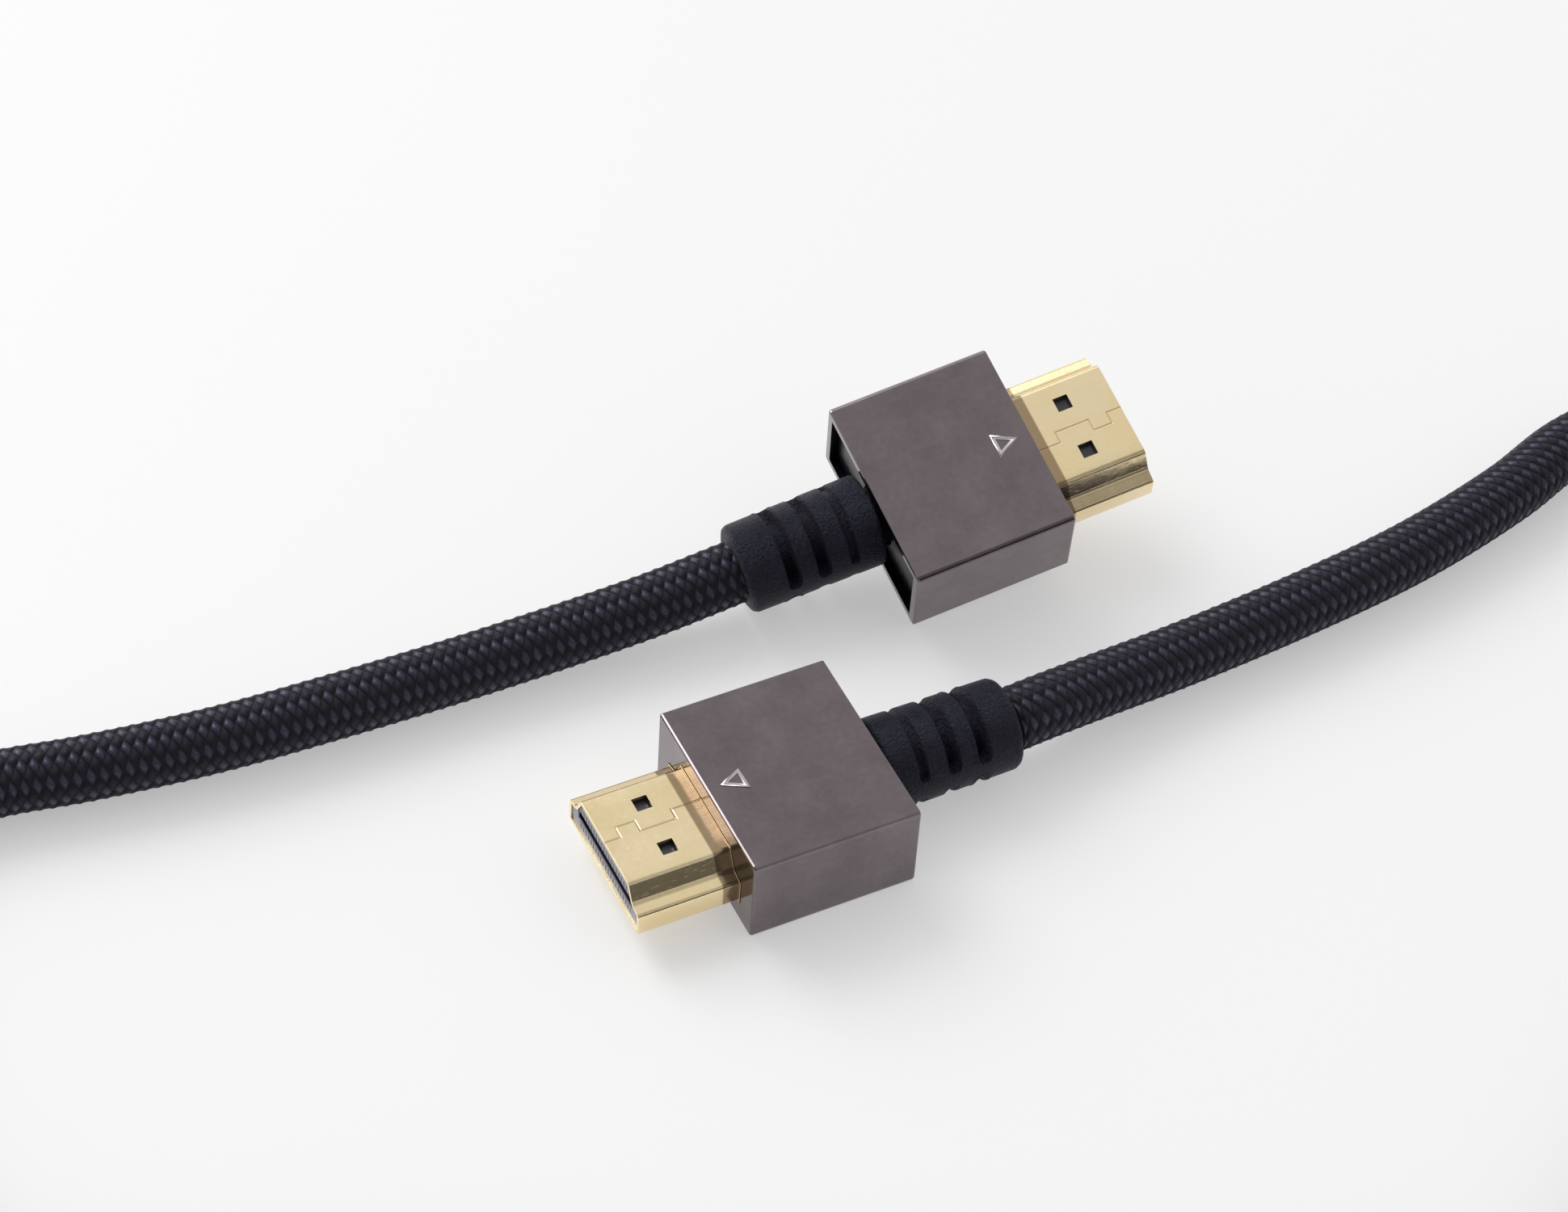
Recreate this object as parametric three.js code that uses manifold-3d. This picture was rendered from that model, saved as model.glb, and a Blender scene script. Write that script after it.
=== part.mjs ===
import * as THREE from "three";
import { mergeVertices } from "three/addons/utils/BufferGeometryUtils.js";
import Module from "manifold-3d";

// A digital video cable with a straight full-size plug on each end, lying loose on a surface.
// Millimetres, +Z up. The origin is on the surface, under the middle of the two plugs.
// In a plug's own frame x runs from the back of its housing to its tip, y is across and z is up.

const wasm = await Module();
wasm.setup();

// Driving sizes
const clearance = 0.3;
const housing = { length: 15.4, width: 18.7, height: 8.9, wall: 0.9, frontWall: 1.0, corner: 0.4, edge: 0.2 };
const shell = {
  out: 9.25,
  width: 13.9,
  height: 4.45,
  topHalf: 4.8,
  ledge: 2.43,
  ledgeRise: 0.3,
  step: 1.22,
  bottom: 2.2,
};
const sheet = { thick: 0.35, inside: 6.6, corner: 0.25, window: 1.4, windowBack: 4.6, windowAside: 2.55 };
const insert = { recess: 0.7, length: 4.2, gap: 0.25, rim: 0.4 };
const boot = { length: 13.0, frontRadius: 4.25, endRadius: 4.1, neckLength: 4.0, shoulder: 0.25, rim: 0.6 };
const neckRadius = housing.height / 2 - housing.wall - insert.gap - insert.rim - clearance;
const slots = { first: 3.3, pitch: 2.9, width: 1.15, shallow: 0.6, coreRadius: 3.0, web: 1.7 };
const mouth = {
  depth: 7.6,
  floor: 1.15,
  shoulder: 2.3,
  roof: 3.25,
  recess: 0.5,
  floorHalf: 5.3,
  roofHalf: 4.45,
  back: 6.0,
};
const pin = { wide: 0.42, thick: 0.25, pitch: 1.0, rise: 0.1, setBack: 0.9, backGap: 0.1 };
const pinRows = { floor: 10, roof: 9 };
const cordDiameter = 5.8;
const cordSides = 10;
const cordSteps = 76;

// Where each plug lies. The far one leans on the back corner of its near edge.
const farPlug = { at: [-6.46, 13.63, 2.17], roll: 14.33, pitch: -7.87, yaw: 51.14 };
const nearPlug = { at: [6.15, -12.22, 0], roll: 0, pitch: 0, yaw: 232.87 };

// The cord's middle line, from the far plug's boot round to the near plug's.
const cordRoute = [
  [-14.2, 2.2, 4.62], [-15.7, 0.2, 4.35], [-19.0, -4.1, 3.77], [-24.0, -10.3, 3.17],
  [-30.0, -18.0, 2.95], [-37.0, -26.8, 2.95], [-44.5, -35.7, 2.95], [-52.2, -43.6, 2.95],
  [-57.6, -48.6, 2.95], [-61.8, -53.7, 2.95], [-63.8, -60.0, 2.95], [-63.3, -66.5, 2.95],
  [-60.5, -72.5, 2.95], [-55.7, -77.0, 2.95], [-42.7, -85.2, 2.95], [-37.1, -87.5, 2.95],
  [-31.1, -87.8, 2.95], [-25.3, -86.0, 2.95], [5.6, -70.2, 2.95], [37.6, -53.9, 2.95],
  [68.3, -38.3, 2.95], [73.3, -34.4, 2.95], [76.7, -29.1, 2.95], [77.9, -22.9, 2.95],
  [78.3, 2.0, 2.95], [78.8, 28.0, 2.95], [79.1, 49.8, 2.95], [77.3, 57.9, 2.95],
  [72.0, 64.2, 2.95], [64.4, 67.5, 2.95], [56.2, 66.9, 2.95], [49.2, 62.6, 2.95],
  [44.8, 55.6, 2.95], [42.0, 47.2, 2.95], [37.1, 36.0, 2.95], [30.8, 25.0, 2.95],
  [23.8, 14.0, 3.05], [18.2, 5.0, 3.9], [15.8, 0.9, 4.4], [14.2, -1.6, 4.45],
];

const lookOf = (color, roughness, metalness) =>
  new THREE.MeshStandardMaterial({ color, roughness, metalness });
const looks = {
  housing: lookOf(0x6f6668, 0.38, 0.9),
  gold: lookOf(0xd2b27a, 0.3, 1.0),
  plastic: lookOf(0x101114, 0.35, 0.0),
  rubber: lookOf(0x16171b, 0.6, 0.0),
  pin: lookOf(0xc9a65a, 0.3, 1.0),
  braid: lookOf(0x14151c, 0.75, 0.0),
};

// Solids

function solidOf(geometry) {
  const bare = geometry.clone();
  bare.deleteAttribute("normal");
  bare.deleteAttribute("uv");
  const merged = mergeVertices(bare, 1e-4);
  return new wasm.Manifold(
    new wasm.Mesh({
      numProp: 3,
      vertProperties: new Float32Array(merged.attributes.position.array),
      triVerts: new Uint32Array(merged.index.array),
    }),
  );
}

function geometryOf(solid) {
  const mesh = solid.getMesh();
  const geometry = new THREE.BufferGeometry();
  geometry.setAttribute("position", new THREE.BufferAttribute(mesh.vertProperties, 3));
  geometry.setIndex(new THREE.BufferAttribute(mesh.triVerts, 1));
  geometry.computeVertexNormals();
  return geometry;
}

// An outline in y and z, carried along x from one place to another.
function prism(points, fromX, toX, bevel = 0) {
  const outline = new THREE.Shape(points.map(([y, z]) => new THREE.Vector2(y, z)));
  const geometry = new THREE.ExtrudeGeometry(outline, {
    depth: toX - fromX - 2 * bevel,
    bevelEnabled: bevel > 0,
    bevelThickness: bevel,
    bevelSize: bevel,
    bevelOffset: -bevel,
    bevelSegments: 2,
  });
  geometry.translate(0, 0, fromX + bevel);
  const alongX = new THREE.Matrix4().makeBasis(
    new THREE.Vector3(0, 1, 0),
    new THREE.Vector3(0, 0, 1),
    new THREE.Vector3(1, 0, 0),
  );
  geometry.applyMatrix4(alongX);
  return geometry;
}

// A profile of [x, radius] turned about the plug's middle line.
function turned(profile, sides) {
  const points = profile.map(([x, radius]) => new THREE.Vector2(radius, x));
  const geometry = new THREE.LatheGeometry(points, sides);
  geometry.rotateZ(-Math.PI / 2);
  geometry.translate(0, 0, housing.height / 2);
  return geometry;
}

function box(fromX, toX, width, fromZ, toZ, y = 0) {
  const geometry = new THREE.BoxGeometry(toX - fromX, width, toZ - fromZ);
  geometry.translate((fromX + toX) / 2, y, (fromZ + toZ) / 2);
  return geometry;
}

// A rectangle with round corners, as points in y and z.
function roundedRectangle(width, height, radius, steps = 3) {
  const points = [];
  const corners = [[1, 0, -90], [1, 1, 0], [-1, 1, 90], [-1, 0, 180]];
  for (const [side, top, start] of corners) {
    const y = side * (width / 2 - radius);
    const z = top ? height - radius : radius;
    for (let step = 0; step <= steps; step += 1) {
      const angle = THREE.MathUtils.degToRad(start + (90 * step) / steps);
      points.push([y + radius * Math.cos(angle), z + radius * Math.sin(angle)]);
    }
  }
  return points;
}

// An outline with each corner cut back by a distance and rounded by one more point.
function softened(points, back) {
  return points.flatMap((point, index) => {
    const corner = new THREE.Vector2(...point);
    const towards = (other) => {
      const way = new THREE.Vector2(...other).sub(corner);
      return corner.clone().addScaledVector(way.normalize(), back);
    };
    const start = towards(points[(index + points.length - 1) % points.length]);
    const end = towards(points[(index + 1) % points.length]);
    const middle = start.clone().add(end).multiplyScalar(0.25).addScaledVector(corner, 0.5);
    return [start.toArray(), middle.toArray(), end.toArray()];
  });
}

// The plug's outline, wide at the bottom and narrow at the top, moved in by a distance.
function plugOutline(inset) {
  const half = shell.width / 2;
  const right = [
    [half, 0],
    [half, shell.ledge],
    [half - shell.step, shell.ledge + shell.ledgeRise],
    [shell.topHalf, shell.height],
  ];
  const left = right.map(([y, z]) => [-y, z]).reverse();
  const ring = [...right, ...left].map(([y, z]) => new THREE.Vector2(y, z));
  const moved = ring.map((point, index) => {
    const before = ring[(index + ring.length - 1) % ring.length];
    const after = ring[(index + 1) % ring.length];
    const edgeIn = point.clone().sub(before).normalize();
    const edgeOut = after.clone().sub(point).normalize();
    const normal = new THREE.Vector2(-edgeOut.y, edgeOut.x);
    const along = new THREE.Vector2(-edgeIn.y, edgeIn.x).add(normal).normalize();
    return point.clone().addScaledVector(along, inset / along.dot(normal)).toArray();
  });
  return softened(moved, sheet.corner).map(([y, z]) => [y, z + shell.bottom]);
}

// Pieces of one plug

function makeHousing() {
  const { length, width, height, wall, frontWall, corner, edge } = housing;
  const outside = solidOf(prism(roundedRectangle(width, height, corner), 0, length, edge));
  const hollow = solidOf(
    prism(
      roundedRectangle(width - 2 * wall, height - 2 * wall, 0.4).map(([y, z]) => [y, z + wall]),
      -1,
      length - frontWall,
    ),
  );
  const window = solidOf(prism(plugOutline(-0.25), length - frontWall - 1, length + 1));
  return geometryOf(outside.subtract(hollow).subtract(window));
}

function makeRearInsert() {
  const { wall, width, height } = housing;
  const inset = wall + insert.gap;
  const outline = roundedRectangle(width - 2 * inset, height - 2 * inset, 0.4);
  const block = solidOf(
    prism(outline.map(([y, z]) => [y, z + inset]), insert.recess, insert.recess + insert.length),
  );
  const bore = neckRadius + clearance;
  const past = insert.recess + insert.length + 1;
  const hole = solidOf(turned([[-1, 0], [-1, bore], [past, bore], [past, 0]], 32));
  return geometryOf(block.subtract(hole));
}

function makeShell() {
  const start = housing.length - sheet.inside;
  const tip = housing.length + shell.out;
  const outside = solidOf(prism(plugOutline(0), start, tip));
  const hollow = solidOf(prism(plugOutline(sheet.thick), start - 1, tip + 1));
  let skin = outside.subtract(hollow);
  for (const side of [-1, 1]) {
    const middle = tip - sheet.windowBack;
    const half = sheet.window / 2;
    const top = shell.bottom + shell.height;
    const window = box(middle - half, middle + half, sheet.window, top - 1, top + 1, side * sheet.windowAside);
    skin = skin.subtract(solidOf(window));
  }
  return geometryOf(skin);
}

function makeInsulator() {
  const tip = housing.length + shell.out - mouth.recess;
  const back = housing.length - mouth.back;
  const block = solidOf(prism(plugOutline(sheet.thick + clearance), back, tip));
  const { floor, shoulder, roof, floorHalf, roofHalf } = mouth;
  const rightSide = [[floorHalf, floor], [floorHalf, shoulder], [roofHalf, roof]];
  const slot = [...rightSide, ...rightSide.map(([y, z]) => [-y, z]).reverse()];
  const raised = slot.map(([y, z]) => [y, z + shell.bottom]);
  return geometryOf(block.subtract(solidOf(prism(raised, tip - mouth.depth, tip + 1))));
}

function bootProfile() {
  const { length, frontRadius, endRadius, neckLength, shoulder, rim } = boot;
  const front = -clearance;
  const end = front - length + clearance;
  const profile = [[neckLength, 0], [neckLength, neckRadius], [front, neckRadius]];
  profile.push([front, frontRadius - shoulder], [front - shoulder, frontRadius]);
  const radiusAt = (x) => THREE.MathUtils.mapLinear(x, front, end, frontRadius, endRadius);
  const groove = -slots.first;
  const half = slots.width / 2;
  const outer = radiusAt(groove);
  profile.push([groove + half, outer], [groove + half / 2, outer - slots.shallow]);
  profile.push([groove - half / 2, outer - slots.shallow], [groove - half, outer]);
  profile.push([end + rim, endRadius], [end + 0.3 * rim, endRadius - 0.3 * rim]);
  profile.push([end, endRadius - rim], [end, 0]);
  return profile;
}

function makeBoot() {
  let body = solidOf(turned(bootProfile().reverse(), 36));
  const middle = housing.height / 2;
  for (const level of [1, 2]) {
    const x = -slots.first - level * slots.pitch;
    const half = slots.width / 2;
    const inner = slots.coreRadius;
    const outer = boot.frontRadius + 1;
    const ring = [[x - half, inner], [x - half, outer], [x + half, outer], [x + half, inner]];
    ring.push(ring[0]);
    const webBottom = middle - slots.web / 2;
    const web = solidOf(box(x - 1, x + 1, 2 * outer + 1, webBottom, webBottom + slots.web));
    body = body.subtract(solidOf(turned(ring, 36)).subtract(web));
  }
  return geometryOf(body);
}

function makePin(row, y) {
  const tip = housing.length + shell.out - mouth.recess - pin.setBack;
  const low = row === "floor" ? mouth.floor + pin.rise : mouth.roof - pin.rise - pin.thick;
  const from = shell.bottom + low;
  const length = mouth.depth - pin.setBack - pin.backGap;
  return box(tip - length, tip, pin.wide, from, from + pin.thick, y);
}

function makePlug(name, pose) {
  const group = new THREE.Group();
  const add = (piece, geometry, look) => {
    const mesh = new THREE.Mesh(geometry, look);
    mesh.name = `${name}_${piece}`;
    group.add(mesh);
  };
  add("housing", makeHousing(), looks.housing);
  add("rear_insert", makeRearInsert(), looks.plastic);
  add("shell", makeShell(), looks.gold);
  add("insulator", makeInsulator(), looks.plastic);
  add("boot", makeBoot(), looks.rubber);
  for (const [row, count] of Object.entries(pinRows)) {
    for (let index = 0; index < count; index += 1) {
      const y = (index - (count - 1) / 2) * pin.pitch;
      add(`${row}_pin_${index + 1}`, makePin(row, y), looks.pin);
    }
  }
  const turn = [pose.roll, pose.pitch, pose.yaw].map(THREE.MathUtils.degToRad);
  group.rotation.set(...turn, "ZYX");
  group.position.set(...pose.at);
  return group;
}

function makeCord() {
  const path = new THREE.CatmullRomCurve3(cordRoute.map((point) => new THREE.Vector3(...point)));
  const section = new THREE.Shape();
  for (let side = 0; side < cordSides; side += 1) {
    const angle = (2 * Math.PI * side) / cordSides;
    const place = [(cordDiameter / 2) * Math.cos(angle), (cordDiameter / 2) * Math.sin(angle)];
    if (side === 0) {
      section.moveTo(...place);
    } else {
      section.lineTo(...place);
    }
  }
  const geometry = new THREE.ExtrudeGeometry(section, { steps: cordSteps, extrudePath: path });
  const mesh = new THREE.Mesh(geometry, looks.braid);
  mesh.name = "cord";
  return mesh;
}

const cable = new THREE.Group();
cable.add(makePlug("far_plug", farPlug), makePlug("near_plug", nearPlug), makeCord());

export default cable;
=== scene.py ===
import math

import bmesh
import bpy
from mathutils import Euler, Matrix, Vector


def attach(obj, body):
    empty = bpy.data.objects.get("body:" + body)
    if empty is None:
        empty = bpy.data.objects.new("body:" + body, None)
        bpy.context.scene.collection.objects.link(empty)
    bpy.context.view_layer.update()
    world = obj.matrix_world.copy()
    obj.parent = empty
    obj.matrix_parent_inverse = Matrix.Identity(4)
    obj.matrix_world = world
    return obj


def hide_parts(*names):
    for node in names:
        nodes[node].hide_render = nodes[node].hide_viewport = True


# A braided video cable with a plug on each end, dressed over its CAD frame, in metres.
# A plug's own frame is in millimetres: x to its tip, y across, z up.

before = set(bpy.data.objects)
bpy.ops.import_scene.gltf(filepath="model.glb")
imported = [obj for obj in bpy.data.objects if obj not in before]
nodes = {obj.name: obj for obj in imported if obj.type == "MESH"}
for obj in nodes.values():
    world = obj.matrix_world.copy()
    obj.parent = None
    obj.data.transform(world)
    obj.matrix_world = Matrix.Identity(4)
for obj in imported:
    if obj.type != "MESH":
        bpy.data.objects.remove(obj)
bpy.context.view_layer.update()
mm = 0.001


# camera

camera = {
    "aim": (-0.01026, 0.00463, 0.0),
    "distance": 0.398,
    "azimuth": 24.0,
    "down": 47.44,
    "roll": 4.08,
    "lens": 102.7,
    "sensor": 36,
    "nearest": 0.01,
}


def makeCamera(c):
    data = bpy.data.cameras.new("camera")
    data.lens = c["lens"]
    data.sensor_width = c["sensor"]
    data.clip_start = c["nearest"]
    turn = (
        Matrix.Rotation(math.radians(c["azimuth"]), 4, "Z")
        @ Matrix.Rotation(math.radians(90 - c["down"]), 4, "X")
        @ Matrix.Rotation(math.radians(c["roll"]), 4, "Z")
    )
    eye = Vector(c["aim"]) + turn.to_3x3() @ Vector((0, 0, c["distance"]))
    obj = bpy.data.objects.new("camera", data)
    bpy.context.collection.objects.link(obj)
    obj.matrix_world = Matrix.Translation(eye) @ turn
    bpy.context.scene.camera = obj


makeCamera(camera)
bpy.context.scene.view_settings.view_transform = "Standard"
print("camera is set")


# where each plug lies, the same as in the CAD

plugs = {
    "far_plug": {"at": (-6.46, 13.63, 2.17), "turn": (14.33, -7.87, 51.14)},
    "near_plug": {"at": (6.15, -12.22, 0.0), "turn": (0.0, 0.0, 232.87)},
}


def plugMatrix(plug):
    place = Matrix.Translation(Vector(plug["at"]) * mm)
    turn = Euler([math.radians(a) for a in plug["turn"]], "XYZ").to_matrix().to_4x4()
    return place @ turn @ Matrix.Scale(mm, 4)


# small helpers for meshes

def finishMesh(bm, name, smooth=True):
    mesh = bpy.data.meshes.new(name)
    bm.to_mesh(mesh)
    bm.free()
    for face in mesh.polygons:
        face.use_smooth = smooth
    obj = bpy.data.objects.new(name, mesh)
    bpy.context.collection.objects.link(obj)
    return obj


def smoothRoute(points, step):
    # a smooth line through the points, cut into even steps
    pts = [Vector(p) for p in points]
    pts = [2 * pts[0] - pts[1]] + pts + [2 * pts[-1] - pts[-2]]
    line = []
    for a, b, c, d in zip(pts, pts[1:], pts[2:], pts[3:]):
        ta, tb, tc = ((b - a).length ** 0.5, (c - b).length ** 0.5, (d - c).length ** 0.5)
        slopeB = ((b - a) / ta - (c - a) / (ta + tb) + (c - b) / tb) * tb
        slopeC = ((c - b) / tb - (d - b) / (tb + tc) + (d - c) / tc) * tb
        for k in range(24):
            t = k / 24
            line.append(
                b * (2 * t**3 - 3 * t**2 + 1)
                + slopeB * (t**3 - 2 * t**2 + t)
                + c * (3 * t**2 - 2 * t**3)
                + slopeC * (t**3 - t**2)
            )
    line.append(pts[-2])
    total = sum((q - p).length for p, q in zip(line, line[1:]))
    count = round(total / step)
    even, travelled, target = [line[0].copy()], 0.0, total / count
    for p, q in zip(line, line[1:]):
        length = (q - p).length
        while travelled + length >= target and len(even) < count:
            even.append(p.lerp(q, (target - travelled) / length))
            target += total / count
        travelled += length
    even.append(line[-1].copy())
    return even, total


def frontFrames(line):
    # a side vector at each point of a line, turned as little as possible
    frames = []
    side = Vector((0, 0, 1))
    for k, p in enumerate(line):
        ahead = (line[min(k + 1, len(line) - 1)] - line[max(k - 1, 0)]).normalized()
        side = (side - ahead * side.dot(ahead)).normalized()
        frames.append((p, ahead, side, ahead.cross(side)))
    return frames


# the cord

cord = {
    "diameter": 5.8 * mm,
    "rows": 20,  # rows of stitches round the cord
    "stitch": 1.1 * mm,  # length of one stitch along it
    "relief": 0.16 * mm,
    "samples": 3,  # vertices across one row
    "steps": 3,  # rings along one stitch
    "route": [
        (-0.0142, 0.0022, 0.00462), (-0.0157, 0.0002, 0.00435), (-0.019, -0.0041, 0.00377),
        (-0.024, -0.0103, 0.00317), (-0.03, -0.018, 0.00295), (-0.037, -0.0268, 0.00295),
        (-0.0445, -0.0357, 0.00295), (-0.0522, -0.0436, 0.00295), (-0.0576, -0.0486, 0.00295),
        (-0.0618, -0.0537, 0.00295), (-0.0638, -0.06, 0.00295), (-0.0633, -0.0665, 0.00295),
        (-0.0605, -0.0725, 0.00295), (-0.0557, -0.077, 0.00295), (-0.0427, -0.0852, 0.00295),
        (-0.0371, -0.0875, 0.00295), (-0.0311, -0.0878, 0.00295), (-0.0253, -0.086, 0.00295),
        (0.0056, -0.0702, 0.00295), (0.0376, -0.0539, 0.00295), (0.0683, -0.0383, 0.00295),
        (0.0733, -0.0344, 0.00295), (0.0767, -0.0291, 0.00295), (0.0779, -0.0229, 0.00295),
        (0.0783, 0.002, 0.00295), (0.0788, 0.028, 0.00295), (0.0791, 0.0498, 0.00295),
        (0.0773, 0.0579, 0.00295), (0.072, 0.0642, 0.00295), (0.0644, 0.0675, 0.00295),
        (0.0562, 0.0669, 0.00295), (0.0492, 0.0626, 0.00295), (0.0448, 0.0556, 0.00295),
        (0.042, 0.0472, 0.00295), (0.0371, 0.036, 0.00295), (0.0308, 0.025, 0.00295),
        (0.0238, 0.014, 0.00305), (0.0182, 0.005, 0.0039), (0.0158, 0.0009, 0.0044),
        (0.0142, -0.0016, 0.00445),
    ],
}


def stitchHeight(along, row):
    # height of the braid, 0 in a valley and 1 on a stitch; along in stitches, row in rows
    # two sets of slanted strands cross, and the one on top changes from row to row
    one, other = along + row / 2, along - row / 2
    upper = (math.floor(one) - math.floor(other)) % 2
    first = math.sin(math.pi * (one % 1.0)) ** (0.4 if upper else 0.9)
    second = math.sin(math.pi * (other % 1.0)) ** (0.9 if upper else 0.4)
    return first * second


def makeCord(c):
    around = c["rows"] * c["samples"]
    line, total = smoothRoute(c["route"], c["stitch"] / c["steps"])
    bm = bmesh.new()
    uvLayer = bm.loops.layers.uv.new("along")
    rings = []
    for k, (p, ahead, side, other) in enumerate(frontFrames(line)):
        ring = []
        for j in range(around):
            angle = 2 * math.pi * j / around
            height = stitchHeight(k / c["steps"], (j + 0.5) / c["samples"])
            radius = c["diameter"] / 2 - c["relief"] * (1 - height)
            ring.append(bm.verts.new(p + (side * math.cos(angle) + other * math.sin(angle)) * radius))
        rings.append(ring)
    for k in range(len(rings) - 1):
        for j in range(around):
            n = (j + 1) % around
            face = bm.faces.new((rings[k][j], rings[k + 1][j], rings[k + 1][n], rings[k][n]))
            corners = ((k, j), (k + 1, j), (k + 1, j + 1), (k, j + 1))
            for loop, (a, b) in zip(face.loops, corners):
                loop[uvLayer].uv = (a / c["steps"], (b + 0.5) / c["samples"])
    bm.faces.new(reversed(rings[0]))
    bm.faces.new(rings[-1])
    bm.normal_update()
    bmesh.ops.recalc_face_normals(bm, faces=bm.faces)
    obj = finishMesh(bm, "braided_cord")
    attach(obj, "root")
    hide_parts("cord")
    print(f"cord is {total:.3f} m long")
    return obj


cordPiece = makeCord(cord)


# shell skins, made from the plug's outline

skin = {
    "start": 8.8,  # behind the housing's front wall
    "tip": 24.65,
    "bottom": 2.2,
    "outline": [(6.95, 0.0), (6.95, 2.43), (5.73, 2.73), (4.8, 4.45)],
    "sheet": 0.35,
    "round": 0.32,
    "windowBack": 4.6,
    "windowAside": 2.55,
    "windowHalf": 0.7,
    "rim": 0.07,
    "rimAngle": 50,
}


def outlineFace(bm, x, inset=0.0):
    # the plug's outline as one face at a place along x
    s = skin
    right = [(y, z + s["bottom"]) for y, z in s["outline"]]
    ring = right + [(-y, z) for y, z in reversed(right)]
    face = bm.faces.new([bm.verts.new((x, y, z)) for y, z in ring])
    bm.normal_update()
    if inset:
        bmesh.ops.inset_region(bm, faces=[face], thickness=inset, use_even_offset=True, use_boundary=True)
        outer = [f for f in bm.faces if f is not face]
        bmesh.ops.delete(bm, geom=outer, context="FACES")
    return face


def pushOut(bm, faces, distance):
    pushed = bmesh.ops.extrude_face_region(bm, geom=faces)
    verts = [v for v in pushed["geom"] if isinstance(v, bmesh.types.BMVert)]
    bmesh.ops.translate(bm, verts=verts, vec=(distance, 0, 0))


def finishPlugPiece(bm, name, plug, smooth=True):
    # from the plug's own frame to the scene, riding on the one body
    bmesh.ops.transform(bm, matrix=plugMatrix(plug), verts=bm.verts)
    bmesh.ops.recalc_face_normals(bm, faces=bm.faces)
    obj = finishMesh(bm, name, smooth)
    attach(obj, "root")
    return obj


def roundEdges(obj, width, steepest=None):
    rounding = obj.modifiers.new("rim", "BEVEL")
    rounding.width = width
    rounding.segments = 3
    rounding.harden_normals = True
    if steepest:
        rounding.limit_method = "ANGLE"
        rounding.angle_limit = math.radians(steepest)


def cutAt(bm, axis, place):
    normal = Vector((0, 0, 0))
    normal[axis] = 1
    bmesh.ops.bisect_plane(
        bm, geom=bm.verts[:] + bm.edges[:] + bm.faces[:], plane_co=normal * place, plane_no=normal
    )


def makeSkin(name, plug):
    s = skin
    bm = bmesh.new()
    face = outlineFace(bm, s["start"])
    pushOut(bm, [face], s["tip"] - s["start"])
    ends = [f for f in bm.faces if len(f.verts) > 4]
    bmesh.ops.delete(bm, geom=ends, context="FACES_ONLY")
    long = [e for e in bm.edges if abs(e.verts[0].co.x - e.verts[1].co.x) > 1]
    bmesh.ops.bevel(
        bm, geom=long, offset=s["round"], segments=5, profile=0.5, affect="EDGES", material=-1
    )
    middle = s["tip"] - s["windowBack"]
    for x in (middle - s["windowHalf"], middle + s["windowHalf"]):
        cutAt(bm, 0, x)
    for side in (-1, 1):
        for edge in (-s["windowHalf"], s["windowHalf"]):
            cutAt(bm, 1, side * s["windowAside"] + edge)
    top = s["bottom"] + s["outline"][-1][1]
    windows = [
        f for f in bm.faces
        if abs(f.calc_center_median().x - middle) < s["windowHalf"]
        and abs(abs(f.calc_center_median().y) - s["windowAside"]) < s["windowHalf"]
        and f.calc_center_median().z > top - 0.05
    ]
    bmesh.ops.delete(bm, geom=windows, context="FACES")
    bmesh.ops.recalc_face_normals(bm, faces=bm.faces)
    bmesh.ops.solidify(bm, geom=bm.faces[:], thickness=s["sheet"])
    obj = finishPlugPiece(bm, f"{name}_skin", plug)
    roundEdges(obj, s["rim"] * mm, s["rimAngle"])
    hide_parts(f"{name}_shell")
    return obj


# a thin bead that closes the gap where the skin leaves the housing

bead = {"from": 15.2, "to": 15.5, "reach": 0.18, "overlap": 0.12, "rim": 0.08}


def makeBead(name, plug):
    b = bead
    bm = bmesh.new()
    center = outlineFace(bm, b["from"])
    half, rise = skin["outline"][0][0], skin["outline"][-1][1] / 2
    grown = (1, 1 + b["reach"] / half, 1 + b["reach"] / rise)
    fromMiddle = Matrix.Translation((0, 0, -skin["bottom"] - rise))
    bmesh.ops.scale(bm, vec=grown, space=fromMiddle, verts=bm.verts)
    bm.normal_update()
    ring = bmesh.ops.inset_region(
        bm, faces=[center], thickness=b["reach"] + b["overlap"], use_even_offset=True, use_boundary=True
    )["faces"]
    bmesh.ops.delete(bm, geom=[center], context="FACES_ONLY")
    pushOut(bm, ring, b["to"] - b["from"])
    obj = finishPlugPiece(bm, f"{name}_bead", plug)
    roundEdges(obj, b["rim"] * mm)
    return obj


# the pale face of the mouth, with its slot and a row of notches above and below it

face = {"front": 24.53, "thick": 0.12, "slotLow": 1.7, "slotHigh": 2.7, "slotHalf": 5.4, "inset": 0.37}


def makeMouthFace(name, plug):
    f = face
    bm = bmesh.new()
    outlineFace(bm, f["front"] - f["thick"], f["inset"])
    for z in (f["slotLow"], f["slotHigh"]):
        cutAt(bm, 2, z + skin["bottom"])
    for side in (-1, 1):
        cutAt(bm, 1, side * f["slotHalf"])
    slot = [
        g for g in bm.faces
        if f["slotLow"] < g.calc_center_median().z - skin["bottom"] < f["slotHigh"]
        and abs(g.calc_center_median().y) < f["slotHalf"]
    ]
    bmesh.ops.delete(bm, geom=slot, context="FACES")
    bmesh.ops.recalc_face_normals(bm, faces=bm.faces)
    pushOut(bm, bm.faces[:], f["thick"])
    return finishPlugPiece(bm, f"{name}_mouth_face", plug, smooth=False)


# boots, a turned body with slots sunk into it above and below

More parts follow.
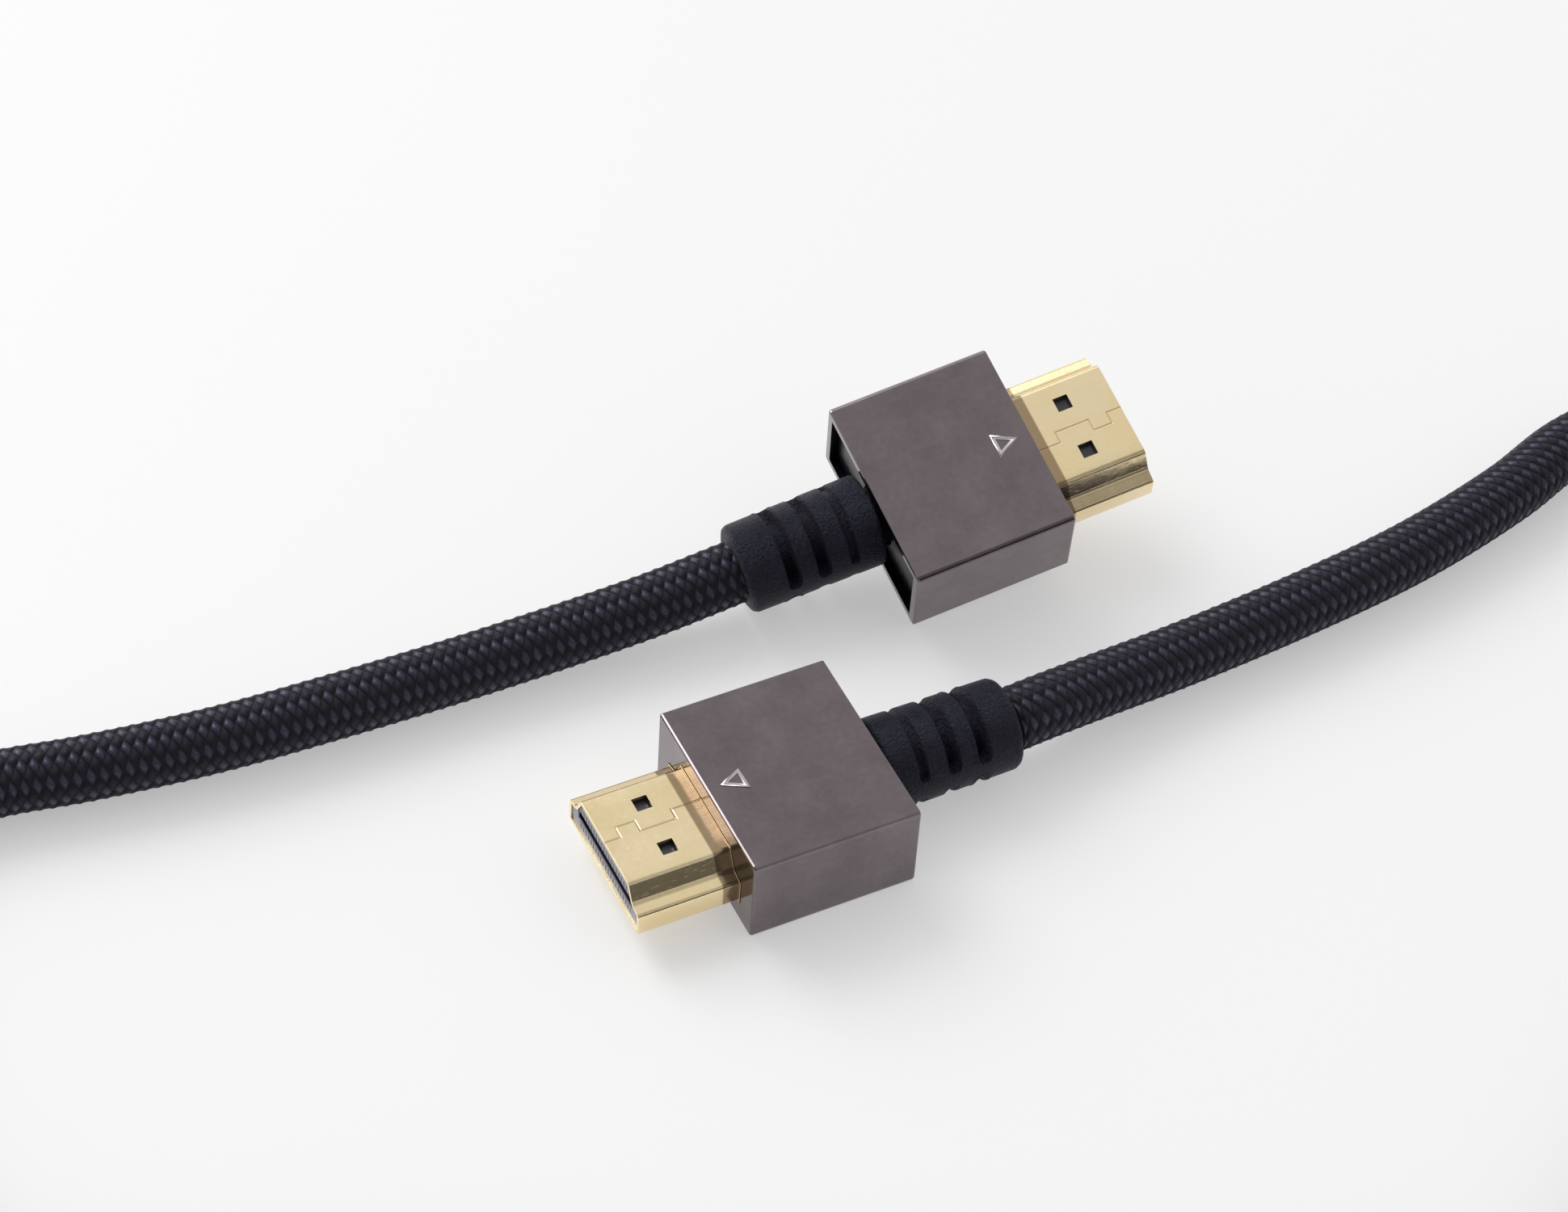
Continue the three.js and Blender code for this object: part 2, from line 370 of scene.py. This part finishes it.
sleeve = {
    "length": 13.0,
    "front": 4.25,
    "end": 4.1,
    "neck": 2.6,
    "neckLength": 4.0,
    "axis": 4.45,  # height of the cord's middle line
    "slots": [3.3, 6.2, 9.1],
    "slotHalf": [0.4025, 0.575, 0.575],
    "slotDepth": [0.5, 1.5, 1.5],
    "slotReach": 69,  # degrees either side of the top and the bottom
    "lip": 0.06,  # raised edge round a slot
    "rings": 160,
    "steps": 144,
}


def makeSleeve(name, plug):
    s = sleeve
    bm = bmesh.new()
    back, front, end = -s["length"], s["front"], s["end"]
    profile = [(s["neckLength"], 0.0), (s["neckLength"], s["neck"]), (-0.3, s["neck"])]
    profile += [(-0.3, front - 0.3), (-0.38, front - 0.09), (-0.6, front)]
    for k in range(1, s["rings"]):
        x = -0.6 + (back + 0.6 + 0.6) * k / s["rings"]
        profile.append((x, front + (end - front) * (-x / s["length"])))
    profile += [(back + 0.5, end), (back + 0.18, end - 0.16), (back, end - 0.55), (back, 0.0)]
    verts = [bm.verts.new((x, 0, s["axis"] + r)) for x, r in profile]
    edges = [bm.edges.new(pair) for pair in zip(verts, verts[1:])]
    bmesh.ops.spin(
        bm, geom=verts + edges, cent=(0, 0, s["axis"]), axis=(1, 0, 0),
        angle=2 * math.pi, steps=s["steps"], use_merge=True,
    )
    bmesh.ops.remove_doubles(bm, verts=bm.verts, dist=0.0001)
    for v in bm.verts:
        out = Vector((0, v.co.y, v.co.z - s["axis"]))
        if out.length < 3.9 or v.co.x > -0.5:
            continue
        angle = math.degrees(math.acos(min(1.0, abs(out.z) / out.length)))
        sink = 0.0
        for place, half, depth in zip(s["slots"], s["slotHalf"], s["slotDepth"]):
            # beyond the reach the slot ends in a half circle
            past = max(0.0, (angle - s["slotReach"]) * math.radians(1) * out.length)
            off = math.hypot(v.co.x + place, past) / half
            t = min(1.0, max(0.0, (1.1 - off) / 0.2))
            sink = max(sink, depth * t * t * (3 - 2 * t))
            sink -= math.exp(-(((off - 1.35) / 0.22) ** 2)) * s["lip"]
        v.co -= out.normalized() * sink
    obj = finishPlugPiece(bm, f"{name}_sleeve", plug)
    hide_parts(f"{name}_boot")
    return obj


# the triangle on top of each housing, a low ridge that points to the tip

arrow = {
    "tip": 14.15,
    "base": 11.9,
    "half": 1.2,
    "line": 0.34,
    "slope": 0.15,
    "rise": 0.08,
    "top": 8.9,
    "sunk": 0.01,
}


def makeArrow(name, plug):
    a = arrow
    bm = bmesh.new()
    corners = [(a["tip"], 0), (a["base"], a["half"]), (a["base"], -a["half"])]
    center = bm.faces.new([bm.verts.new((x, y, a["top"] - a["sunk"])) for x, y in corners])
    bm.normal_update()
    ring = bmesh.ops.inset_region(
        bm, faces=[center], thickness=a["line"], use_even_offset=True, use_boundary=True
    )["faces"]
    bmesh.ops.delete(bm, geom=[center], context="FACES_ONLY")
    pushed = bmesh.ops.extrude_face_region(bm, geom=ring)
    lifted = [f for f in pushed["geom"] if isinstance(f, bmesh.types.BMFace)]
    verts = list({v for f in lifted for v in f.verts})
    bmesh.ops.translate(bm, verts=verts, vec=(0, 0, a["rise"] + a["sunk"]))
    bm.normal_update()
    bmesh.ops.inset_region(bm, faces=lifted, thickness=a["slope"], use_even_offset=True, use_boundary=True)
    bmesh.ops.translate(bm, verts=verts, vec=(0, 0, -a["rise"]))
    return finishPlugPiece(bm, f"{name}_arrow", plug)


pieces = {}
for name, plug in plugs.items():
    pieces[name] = {
        "skin": makeSkin(name, plug),
        "bead": makeBead(name, plug),
        "face": makeMouthFace(name, plug),
        "sleeve": makeSleeve(name, plug),
        "arrow": makeArrow(name, plug),
    }
print("plug pieces are made")


# helpers for shader trees

def calc(tree, operation, *values):
    node = tree.nodes.new("ShaderNodeMath")
    node.operation = operation
    for socket, value in zip(node.inputs, values):
        if isinstance(value, (int, float)):
            socket.default_value = value
        else:
            tree.links.new(value, socket)
    return node.outputs[0]


def plus(tree, first, *others):
    for other in others:
        first = calc(tree, "ADD", first, other)
    return first


def times(tree, first, *others):
    for other in others:
        first = calc(tree, "MULTIPLY", first, other)
    return first


def farFrom(tree, value, place):
    return calc(tree, "ABSOLUTE", calc(tree, "SUBTRACT", value, place))


def partsOf(tree, vector):
    split = tree.nodes.new("ShaderNodeSeparateXYZ")
    tree.links.new(vector, split.inputs[0])
    return split.outputs


def feed(tree, shader, color, rough, normal=None):
    tree.links.new(color, shader.inputs["Base Color"])
    tree.links.new(rough, shader.inputs["Roughness"])
    if normal:
        tree.links.new(normal, shader.inputs["Normal"])


def spread(tree, value, low, high, toLow=0.0, toHigh=1.0):
    node = tree.nodes.new("ShaderNodeMapRange")
    tree.links.new(value, node.inputs["Value"])
    for key, number in (("From Min", low), ("From Max", high), ("To Min", toLow), ("To Max", toHigh)):
        node.inputs[key].default_value = number
    return node.outputs["Result"]


def blendColor(tree, factor, first, second):
    node = tree.nodes.new("ShaderNodeMix")
    node.data_type = "RGBA"
    tree.links.new(factor, node.inputs["Factor"])
    for socket, color in ((node.inputs[6], first), (node.inputs[7], second)):
        if isinstance(color, tuple):
            socket.default_value = (*color, 1)
        else:
            tree.links.new(color, socket)
    return node.outputs[2]


def noiseOf(tree, vector, scale, detail=3.0, roughness=0.55):
    node = tree.nodes.new("ShaderNodeTexNoise")
    tree.links.new(vector, node.inputs["Vector"])
    node.inputs["Scale"].default_value = scale
    node.inputs["Detail"].default_value = detail
    node.inputs["Roughness"].default_value = roughness
    return node.outputs["Fac"]


def bumpOf(tree, height, distance, strength=1.0, before=None):
    node = tree.nodes.new("ShaderNodeBump")
    node.inputs["Distance"].default_value = distance
    node.inputs["Strength"].default_value = strength
    tree.links.new(height, node.inputs["Height"])
    if before:
        tree.links.new(before, node.inputs["Normal"])
    return node.outputs["Normal"]


def millimetres(tree, plug=None):
    # Object coordinates in millimetres, in a plug's own frame where one is given
    coords = tree.nodes.new("ShaderNodeTexCoord")
    mapping = tree.nodes.new("ShaderNodeMapping")
    mapping.vector_type = "TEXTURE"
    mapping.inputs["Scale"].default_value = (mm, mm, mm)
    if plug:
        mapping.inputs["Location"].default_value = [v * mm for v in plug["at"]]
        mapping.inputs["Rotation"].default_value = [math.radians(a) for a in plug["turn"]]
    tree.links.new(coords.outputs["Object"], mapping.inputs["Vector"])
    return mapping.outputs["Vector"]


def newGroup(name, inputs, outputs):
    group = bpy.data.node_groups.new(name, "ShaderNodeTree")
    for side, sockets in (("INPUT", inputs), ("OUTPUT", outputs)):
        for label, kind in sockets:
            group.interface.new_socket(label, in_out=side, socket_type=f"NodeSocket{kind}")
    return group, group.nodes.new("NodeGroupInput"), group.nodes.new("NodeGroupOutput")


def placeGroup(tree, group, **values):
    node = tree.nodes.new("ShaderNodeGroup")
    node.node_tree = group
    for label, value in values.items():
        if isinstance(value, (int, float)):
            node.inputs[label].default_value = value
        else:
            tree.links.new(value, node.inputs[label])
    return node.outputs


# shared effects

def makeHandlingGroup():
    # cloudy wipe marks and fine straight scratches, on metal and gloss plastic
    group, start, end = newGroup(
        "handling marks",
        [("Vector", "Vector"), ("Cloud", "Float"), ("Scratch", "Float")],
        [("Marks", "Float"), ("Lines", "Float")],
    )
    cloud = noiseOf(group, start.outputs["Vector"], 0.22, 4.0)
    fine = noiseOf(group, start.outputs["Vector"], 1.7, 3.0)
    both = plus(group, times(group, cloud, 0.7), times(group, fine, 0.3))
    marks = times(group, spread(group, both, 0.38, 0.64), start.outputs["Cloud"])
    stretch = group.nodes.new("ShaderNodeMapping")
    stretch.inputs["Scale"].default_value = (1.1, 14.0, 14.0)
    group.links.new(start.outputs["Vector"], stretch.inputs["Vector"])
    hair = noiseOf(group, stretch.outputs["Vector"], 1.0, 2.0)
    lines = times(group, spread(group, hair, 0.6, 0.72), start.outputs["Scratch"])
    group.links.new(marks, end.inputs["Marks"])
    group.links.new(lines, end.inputs["Lines"])
    return group


def makeGrainGroup():
    # moulded grain, small round bumps a few tenths of a millimetre across
    group, start, end = newGroup(
        "moulded grain", [("Vector", "Vector"), ("Size", "Float")], [("Height", "Float")]
    )
    cells = group.nodes.new("ShaderNodeTexVoronoi")
    group.links.new(start.outputs["Vector"], cells.inputs["Vector"])
    group.links.new(start.outputs["Size"], cells.inputs["Scale"])
    soft = noiseOf(group, start.outputs["Vector"], 5.0, 4.0, 0.7)
    height = plus(group, times(group, cells.outputs["Distance"], 0.6), soft)
    group.links.new(height, end.inputs["Height"])
    return group


handlingGroup = makeHandlingGroup()
grainGroup = makeGrainGroup()


# materials

def newMaterial(name, color, metallic=0.0, roughness=0.5):
    material = bpy.data.materials.new(name)
    material.use_nodes = True
    shader = material.node_tree.nodes["Principled BSDF"]
    shader.inputs["Base Color"].default_value = (*color, 1)
    shader.inputs["Metallic"].default_value = metallic
    shader.inputs["Roughness"].default_value = roughness
    return material, material.node_tree, shader


def dress(obj, material):
    obj.data.materials.clear()
    obj.data.materials.append(material)


# the housing is dark metal, with painted shade darkening the faces of its hollow

housing = {
    "dull": (0.178, 0.149, 0.158),
    "clear": (0.222, 0.189, 0.2),
    "rough": 0.1,
    "ripple": 0.6,
    "hollow": {"half": 8.45, "middle": 4.45, "rise": 3.55, "front": 14.6},
    "hollowShade": (0.012, 0.011, 0.014),
}


def makeHousingMetal(plugName, plug):
    h, hollow = housing, housing["hollow"]
    material, tree, shader = newMaterial(f"gunmetal {plugName}", (0.2, 0.17, 0.182), 1.0, 0.12)
    place = millimetres(tree, plug)
    x, y, z = partsOf(tree, place)
    marks = placeGroup(tree, handlingGroup, Vector=place, Cloud=1.0, Scratch=1.0)
    aside = calc(tree, "SUBTRACT", calc(tree, "ABSOLUTE", y), hollow["half"])
    above = calc(tree, "SUBTRACT", farFrom(tree, z, hollow["middle"]), hollow["rise"])
    # painted shade: the faces of the hollow behind the front wall are painted near black, as light hardly
    # reaches them
    inside = spread(tree, calc(tree, "MAXIMUM", aside, above), 0.0, 0.08, 1.0, 0.0)
    inside = times(tree, inside, calc(tree, "LESS_THAN", x, hollow["front"]))
    tint = blendColor(tree, marks["Marks"], h["dull"], h["clear"])
    rough = plus(
        tree, times(tree, marks["Marks"], 0.05), h["rough"],
        times(tree, inside, 0.35), times(tree, marks["Lines"], 0.08),
    )
    soft = bumpOf(tree, noiseOf(tree, place, h["ripple"], 2.0), 0.000006)
    feed(
        tree, shader,
        color=blendColor(tree, inside, tint, h["hollowShade"]),
        rough=rough,
        normal=bumpOf(tree, marks["Lines"], 0.0000015, before=soft),
    )
    return material


# the arrow's ridge is a much paler metal than the housing, a painted highlight for the bright lines its
# slopes catch

ridge = {"dull": (0.56, 0.52, 0.54), "clear": (0.64, 0.6, 0.62), "rough": (0.16, 0.26)}


def makeRidgeMetal():
    material, tree, shader = newMaterial("ridge painted highlight", (0.6, 0.56, 0.58), 1.0, 0.2)
    marks = placeGroup(tree, handlingGroup, Vector=millimetres(tree), Cloud=1.0, Scratch=1.0)
    feed(
        tree, shader,
        color=blendColor(tree, marks["Marks"], ridge["dull"], ridge["clear"]),
        rough=spread(tree, marks["Marks"], 0.0, 1.0, *ridge["rough"]),
    )
    return material


# the shell is gold plated, with the joint of its folded sheet on top

gold = {
    "dull": (0.95, 0.77, 0.45),
    "clear": (0.97, 0.81, 0.52),
    "seam": (0.75, 0.57, 0.32),
    # a painted reflection: the gold next to the housing is darkened towards this tint, standing in for the
    # housing's dark front face mirrored in it
    "housingReflection": (0.22, 0.135, 0.075),
    "housingReflectionTo": 16.85,  # the painted reflection reaches from the housing up to here
    "rough": 0.12,
    "ripple": 1.1,
    "seamFrom": 6.4,
    # each strip of the joint: x, y, half length, half width
    "strips": [
        (24.0, 0.1, 0.75, 0.04), (23.2, -0.45, 0.04, 0.6), (22.3, -1.05, 0.9, 0.04),
        (21.4, -0.45, 0.04, 0.6), (19.8, 0.1, 1.6, 0.04), (18.1, -0.45, 0.04, 0.6),
        (16.7, -1.0, 1.4, 0.04),
    ],
}


def makeGoldPlate(plugName, plug):
    g = gold
    material, tree, shader = newMaterial(f"gold {plugName}", (0.96, 0.79, 0.47), 1.0, 0.16)
    place = millimetres(tree, plug)
    x, y, z = partsOf(tree, place)
    near = None
    for stripX, stripY, halfX, halfY in g["strips"]:
        offX = calc(tree, "SUBTRACT", farFrom(tree, x, stripX), halfX)
        offY = calc(tree, "SUBTRACT", farFrom(tree, y, stripY), halfY)
        off = calc(tree, "MAXIMUM", offX, offY)
        near = calc(tree, "MINIMUM", near, off) if near else off
    groove = spread(tree, near, 0.0, 0.06, 1.0, 0.0)
    groove = times(tree, groove, calc(tree, "GREATER_THAN", z, g["seamFrom"]))
    # painted reflection of the housing's dark front face on the gold next to it
    paintedReflection = spread(tree, x, g["housingReflectionTo"], g["housingReflectionTo"] + 0.15, 0.75, 0.0)
    marks = placeGroup(tree, handlingGroup, Vector=place, Cloud=1.0, Scratch=1.0)
    tint = blendColor(tree, marks["Marks"], g["dull"], g["clear"])
    tint = blendColor(tree, groove, tint, g["seam"])
    rough = plus(tree, times(tree, marks["Marks"], 0.06), g["rough"], times(tree, marks["Lines"], 0.12))
    soft = bumpOf(tree, noiseOf(tree, place, g["ripple"], 2.0), 0.00001)
    lined = bumpOf(tree, marks["Lines"], 0.000002, before=soft)
    feed(
        tree, shader,
        color=blendColor(tree, paintedReflection, tint, g["housingReflection"]),
        rough=rough,
        normal=bumpOf(tree, calc(tree, "SUBTRACT", 1.0, groove), 0.00003, before=lined),
    )
    return material


# the mouth's face is pale, with rows of small notches whose hollows are painted near black as shade

notch = {
    "pitch": 1.0,
    "half": 0.26,
    "rows": (3.5, 5.3),
    "rowHalf": 0.32,
    "reach": 5.2,
    "dull": (0.22, 0.22, 0.28),
    "clear": (0.32, 0.32, 0.39),
    "dark": (0.012, 0.012, 0.018),
}


def makeFacePlastic(plugName, plug):
    n = notch
    material, tree, shader = newMaterial(f"pale face plastic {plugName}", (0.4, 0.4, 0.46), 0.0, 0.3)
    place = millimetres(tree, plug)
    y, z = partsOf(tree, place)[1:]
    tooth = farFrom(tree, calc(tree, "PINGPONG", y, n["pitch"] / 2), n["pitch"] / 4)
    across = spread(tree, tooth, n["half"] / 2 - 0.04, n["half"] / 2 + 0.04, 1.0, 0.0)
    low, high = (
        spread(tree, farFrom(tree, z, row), n["rowHalf"] - 0.05, n["rowHalf"] + 0.05, 1.0, 0.0)
        for row in n["rows"]
    )
    within = calc(tree, "LESS_THAN", calc(tree, "ABSOLUTE", y), n["reach"])
    # painted shade: the notches are shallow hollows, painted near black for the shade inside them
    dark = times(tree, across, calc(tree, "MAXIMUM", low, high), within)
    cloud = noiseOf(tree, place, 2.5)
    feed(
        tree, shader,
        color=blendColor(tree, dark, blendColor(tree, cloud, n["dull"], n["clear"]), n["dark"]),
        rough=spread(tree, cloud, 0.3, 0.7, 0.24, 0.36),
        normal=bumpOf(tree, calc(tree, "SUBTRACT", 1.0, dark), 0.00006),
    )
    return material


# dark mouldings inside the plugs

mouldings = {
    "insert": {
        "name": "dark glossy plastic",
        "low": (0.004, 0.004, 0.008),
        "high": (0.008, 0.008, 0.014),
        "shine": 0.12,
    },
    "core": {
        "name": "slate core plastic",
        "low": (0.045, 0.047, 0.066),
        "high": (0.06, 0.062, 0.085),
        "shine": 0.5,
    },
}


def makeGlossPlastic(m):
    material, tree, shader = newMaterial(m["name"], m["low"], 0.0, 0.18)
    shader.inputs["Specular IOR Level"].default_value = m["shine"]
    place = millimetres(tree)
    marks = placeGroup(tree, handlingGroup, Vector=place, Cloud=1.0, Scratch=0.5)
    grain = placeGroup(tree, grainGroup, Vector=place, Size=3.0)
    feed(
        tree, shader,
        color=blendColor(tree, marks["Marks"], m["low"], m["high"]),
        rough=spread(tree, marks["Marks"], 0.0, 1.0, 0.14, 0.26),
        normal=bumpOf(tree, grain["Height"], 0.000012),
    )
    return material


# the boots are dark rubber with a moulded grain, whose raised bumps are painted lighter as glints

rubber = {
    "low": (0.002, 0.002, 0.006),
    "high": (0.026, 0.027, 0.046),
    "shine": 0.22,
    "shineTint": (0.84, 0.82, 1.0, 1),
    "grain": 4.2,
}


def makeBootRubber():
    r = rubber
    material, tree, shader = newMaterial("boot rubber", (0.014, 0.015, 0.019), 0.0, 0.5)
    shader.inputs["Specular IOR Level"].default_value = r["shine"]
    shader.inputs["Specular Tint"].default_value = r["shineTint"]
    place = millimetres(tree)
    grain = placeGroup(tree, grainGroup, Vector=place, Size=r["grain"])
    dust = spread(tree, noiseOf(tree, place, 0.5, 3.0), 0.3, 0.7, 0.75, 1.1)
    # partly the grain's own speckle, partly painted glints: the raised bumps are lighter, standing in for
    # small highlights
    grainAndGlints = times(tree, grain["Height"], dust)
    feed(
        tree, shader,
        color=blendColor(tree, spread(tree, grainAndGlints, 0.4, 1.1), r["low"], r["high"]),
        rough=spread(tree, grainAndGlints, 0.4, 1.1, 0.34, 0.5),
        normal=bumpOf(tree, grain["Height"], 0.0003),
    )
    return material


# the contacts

contact = {"dull": (0.78, 0.58, 0.27), "clear": (0.86, 0.68, 0.36), "rough": (0.2, 0.34)}


def makePinGold():
    material, tree, shader = newMaterial("pin gold", (0.8, 0.62, 0.3), 1.0, 0.25)
    marks = placeGroup(tree, handlingGroup, Vector=millimetres(tree), Cloud=1.0, Scratch=0.5)
    feed(
        tree, shader,
        color=blendColor(tree, marks["Marks"], contact["dull"], contact["clear"]),
        rough=spread(tree, marks["Marks"], 0.0, 1.0, *contact["rough"]),
    )
    return material


# the cord's yarn: its stitches follow stitchHeight, each a bundle of fine fibres; its colour is painted
# lighter on the stitch crowns as a bluish sheen, and darker in the valleys and on the lower strands as
# shade, with fibre and stitch tone varying at random

yarn = {
    "low": (0.0003, 0.0002, 0.001),
    "high": (0.036, 0.033, 0.07),
    "rough": (0.85, 0.28),
    "fibres": (9.0, 0.6),  # across a strand and along it
    "under": 0.3,  # how bright the lower strands are, a painted shade on the strands that lie beneath
    "levels": {
        "Specular IOR Level": 0.6,
        "Specular Tint": (0.86, 0.8, 1.0, 1),
        "Sheen Weight": 0.04,
        "Sheen Roughness": 0.4,
        "Sheen Tint": (0.85, 0.8, 1.0, 1),
    },
}


def makeBraidYarn():
    w = yarn
    material, tree, shader = newMaterial("braid yarn", (0.012, 0.012, 0.02), 0.0, 0.42)
    for key, value in w["levels"].items():
        shader.inputs[key].default_value = value
    uv = tree.nodes.new("ShaderNodeUVMap")
    uv.uv_map = "along"
    along, rows = partsOf(tree, uv.outputs["UV"])[:2]
    half = times(tree, rows, 0.5)
    one = calc(tree, "ADD", along, half)
    other = calc(tree, "SUBTRACT", along, half)
    cells = calc(tree, "SUBTRACT", calc(tree, "FLOOR", one), calc(tree, "FLOOR", other))
    upper = calc(tree, "FLOORED_MODULO", cells, 2.0)
    down = calc(tree, "SUBTRACT", 1.0, upper)

    def arch(place, whichUp):
        power = spread(tree, whichUp, 0.0, 1.0, 0.9, 0.4)
        wave = calc(tree, "SINE", times(tree, calc(tree, "FRACT", place), math.pi))
        return calc(tree, "POWER", calc(tree, "MAXIMUM", wave, 0.0), power)

    height = times(tree, arch(one, upper), arch(other, down))
    # fibres run along the strand that is on top, so they change slant with it
    combine = tree.nodes.new("ShaderNodeCombineXYZ")
    slants = [
        times(tree, one, spread(tree, upper, 0.0, 1.0, *w["fibres"])),
        times(tree, other, spread(tree, down, 0.0, 1.0, *w["fibres"])),
        cells,
    ]
    for socket, value in zip(combine.inputs, slants):
        tree.links.new(value, socket)
    fibre = noiseOf(tree, combine.outputs[0], 1.0, 2.0, 0.6)
    stitchTone = noiseOf(tree, uv.outputs["UV"], 0.8, 2.0)
    # painted light: brighter on the crowns and the upper strands as sheen, darker in the valleys and on
    # the lower strands as shade; the fibre and stitch noise are the yarn's own tone
    paintedLightAndTone = times(
        tree, height,
        spread(tree, fibre, 0.3, 0.7, 0.55, 1.0),
        spread(tree, stitchTone, 0.3, 0.7, 0.7, 1.1),
        spread(tree, upper, 0.0, 1.0, w["under"], 1.0),
    )
    body = bumpOf(tree, height, 0.0003)
    feed(
        tree, shader,
        color=blendColor(tree, spread(tree, paintedLightAndTone, 0.15, 0.95), w["low"], w["high"]),
        rough=spread(tree, paintedLightAndTone, 0.1, 0.9, *w["rough"]),
        normal=bumpOf(tree, fibre, 0.00003, before=body),
    )
    return material


bootRubber = makeBootRubber()
ridgeMetal = makeRidgeMetal()
dress(cordPiece, makeBraidYarn())
for plugName, plug in plugs.items():
    goldPlate = makeGoldPlate(plugName, plug)
    dress(nodes[f"{plugName}_housing"], makeHousingMetal(plugName, plug))
    dress(pieces[plugName]["arrow"], ridgeMetal)
    dress(pieces[plugName]["skin"], goldPlate)
    dress(pieces[plugName]["bead"], goldPlate)
    dress(pieces[plugName]["face"], makeFacePlastic(plugName, plug))
    dress(pieces[plugName]["sleeve"], bootRubber)
inner = {
    "insulator": makeGlossPlastic(mouldings["core"]),
    "rear_insert": makeGlossPlastic(mouldings["insert"]),
    "_pin_": makePinGold(),
}
for name, obj in nodes.items():
    for key, material in inner.items():
        if key in name:
            dress(obj, material)
print("materials are on")


# floor and light

stage = {
    "floor": (0.51, 0.51, 0.512),
    "floorGlow": 0.41,  # a lit white table
    "floorSize": 3.0,
    "floorDrop": 0.00002,
    "sky": 0.72,
    "lamp": (-0.75, 0.25, 0.61),
    "lampGlow": 2.0,
    "lampSpan": (0.86, 0.95),  # where the lamp's glow starts and is full, as cosines
    # dark parts of the room: direction, where it starts and is full as cosines, and how dark
    "dark": [((0.26, -0.6, 0.76), 0.66, 0.9, 0.65), ((0.94, -0.32, 0.07), 0.9, 0.96, 0.85)],
    "softbox": {"distance": 1.3, "size": 0.75, "power": 5.0},
}


def makeWorld(s):
    world = bpy.data.worlds.new("studio")
    bpy.context.scene.world = world
    world.use_nodes = True
    tree = world.node_tree
    coords = tree.nodes.new("ShaderNodeTexCoord").outputs["Generated"]

    def facing(direction):
        node = tree.nodes.new("ShaderNodeVectorMath")
        node.operation = "DOT_PRODUCT"
        tree.links.new(coords, node.inputs[0])
        node.inputs[1].default_value = direction
        return node.outputs["Value"]

    bright = spread(tree, facing(s["lamp"]), *s["lampSpan"], s["sky"], s["sky"] + s["lampGlow"])
    for direction, begins, full, depth in s["dark"]:
        shade = spread(tree, facing(direction), begins, full, 1.0, 1.0 - depth)
        bright = times(tree, bright, shade)
    tree.links.new(bright, tree.nodes["Background"].inputs["Strength"])
    tree.nodes["Background"].inputs["Color"].default_value = (1.0, 1.0, 1.0, 1)


def makeFloor(s):
    bm = bmesh.new()
    bmesh.ops.create_grid(bm, x_segments=1, y_segments=1, size=s["floorSize"] / 2)
    bmesh.ops.translate(bm, verts=bm.verts, vec=(0, 0, -s["floorDrop"]))
    floor = finishMesh(bm, "floor", smooth=False)
    material, tree, shader = newMaterial("pale floor", s["floor"], 0.0, 0.55)
    cloud = noiseOf(tree, millimetres(tree), 0.01, 2.0)
    paler = tuple(min(1.0, v * 1.02) for v in s["floor"])
    tree.links.new(blendColor(tree, cloud, s["floor"], paler), shader.inputs["Base Color"])
    shader.inputs["Emission Color"].default_value = (1.0, 1.0, 1.0, 1)
    shader.inputs["Emission Strength"].default_value = s["floorGlow"]
    dress(floor, material)


def makeSoftbox(s):
    box = s["softbox"]
    data = bpy.data.lights.new("softbox", "AREA")
    data.shape = "DISK"
    data.size = box["size"]
    data.energy = box["power"]
    light = bpy.data.objects.new("softbox", data)
    bpy.context.collection.objects.link(light)
    light.location = Vector(s["lamp"]).normalized() * box["distance"]
    light.rotation_euler = (-light.location).to_track_quat("-Z", "Y").to_euler()


def makeStage(s):
    makeWorld(s)
    makeFloor(s)
    makeSoftbox(s)


makeStage(stage)
print("stage is set")
